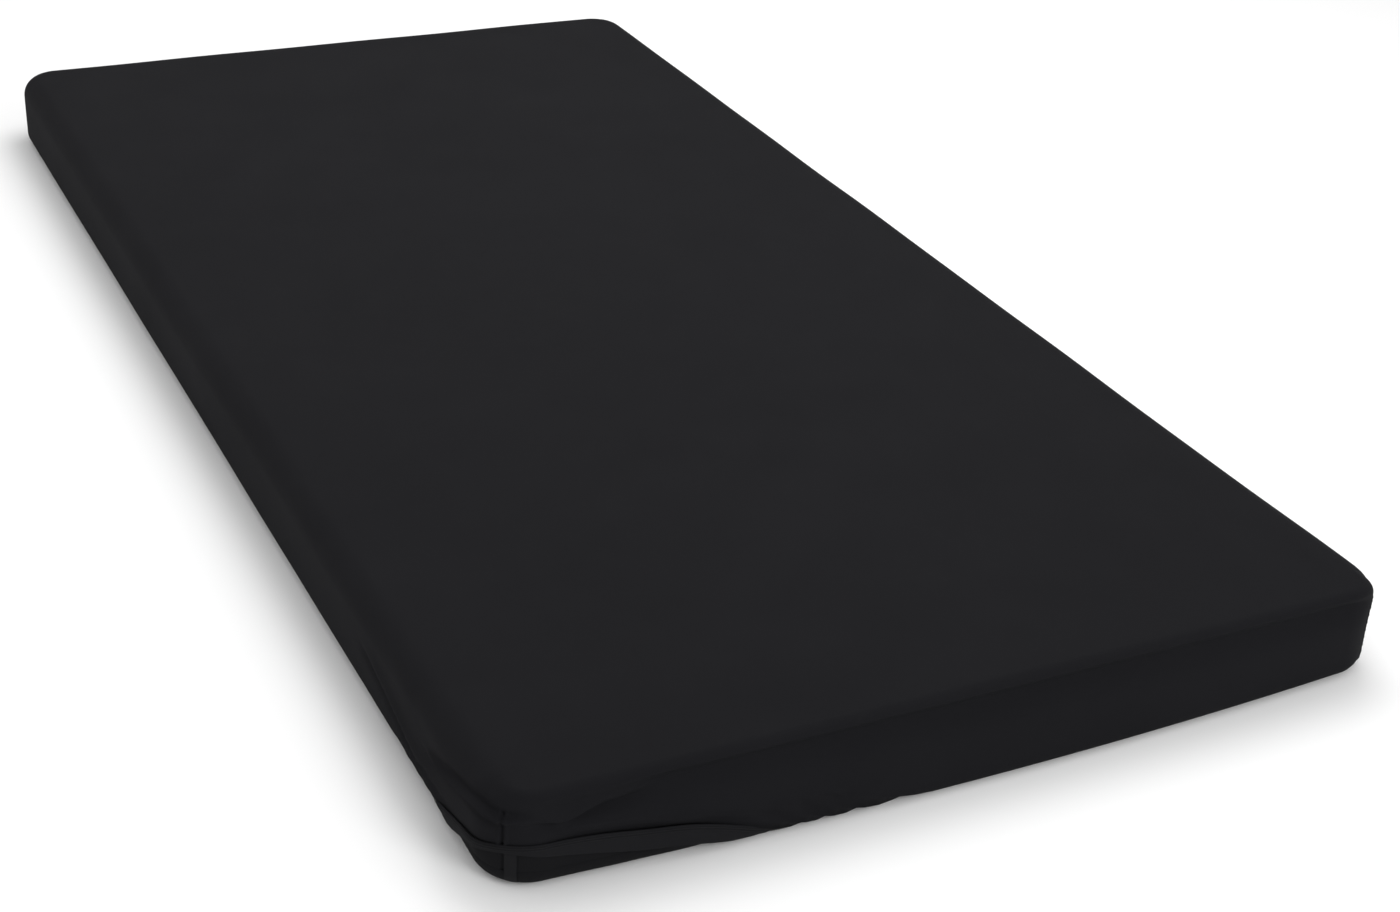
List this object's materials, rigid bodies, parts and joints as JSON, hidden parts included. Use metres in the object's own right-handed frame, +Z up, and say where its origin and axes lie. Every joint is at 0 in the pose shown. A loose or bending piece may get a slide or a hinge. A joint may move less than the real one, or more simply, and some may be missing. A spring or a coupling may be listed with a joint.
{
  "type": "futon mattress",
  "caption": "Thin single futon mattress: foam core and batting in a zipped ticking case, under a stretch fitted cover with an elastic hem.",
  "frame": {"origin": "middle of the underside, on the surface that the mattress lies on", "axes": "+X across the mattress, +Y along it towards the head end, where the zip is, +Z up"},
  "size_m": [1, 2, 0.105],
  "materials": {
    "jersey": "fine knitted jersey, soft sheen",
    "jersey_seam": "knitted jersey, folded and stitched",
    "elastic": "braided elastic",
    "label": "satin ribbon, blank",
    "ticking": "close twill weave",
    "binding": "woven tape",
    "zip_tape": "herringbone tape",
    "zip_coil": "nylon coil",
    "zip_metal": "nickel-plated, satin",
    "foam": "open-cell foam",
    "batting": "loose cotton felt"
  },
  "bodies": {
    "mattress": {"fitted_cover": "jersey", "corner_seam_foot_left": "jersey_seam", "corner_seam_foot_right": "jersey_seam", "corner_seam_head_left": "jersey_seam", "corner_seam_head_right": "jersey_seam", "hem_channel": "jersey_seam", "hem_elastic": "elastic", "care_label": "label", "ticking_top": "ticking", "ticking_border": "ticking", "ticking_bottom": "ticking", "binding_top": "binding", "corner_tapes": "binding", "zip_tape_upper": "zip_tape", "zip_tape_lower": "zip_tape", "zip_coil_upper": "zip_coil", "zip_coil_lower": "zip_coil", "zip_stop_closed": "zip_metal", "zip_stop_open": "zip_metal", "foam_core": "foam", "batting_top": "batting", "batting_bottom": "batting"},
    "slider": {"zip_slider": "zip_metal"},
    "pull": {"zip_pull": "zip_metal"}
  },
  "joints": [
    {"name": "zip_slide", "type": "slide", "parent": "mattress", "child": "slider", "axis": [-1, 0, 0], "range_m": [0, 0.813]},
    {"name": "pull_swing", "type": "hinge", "parent": "slider", "child": "pull", "pos_m": [0.4207, 0.99175, 0.0455], "axis": [0, 0, -1], "range_deg": [0, 12]}
  ]
}
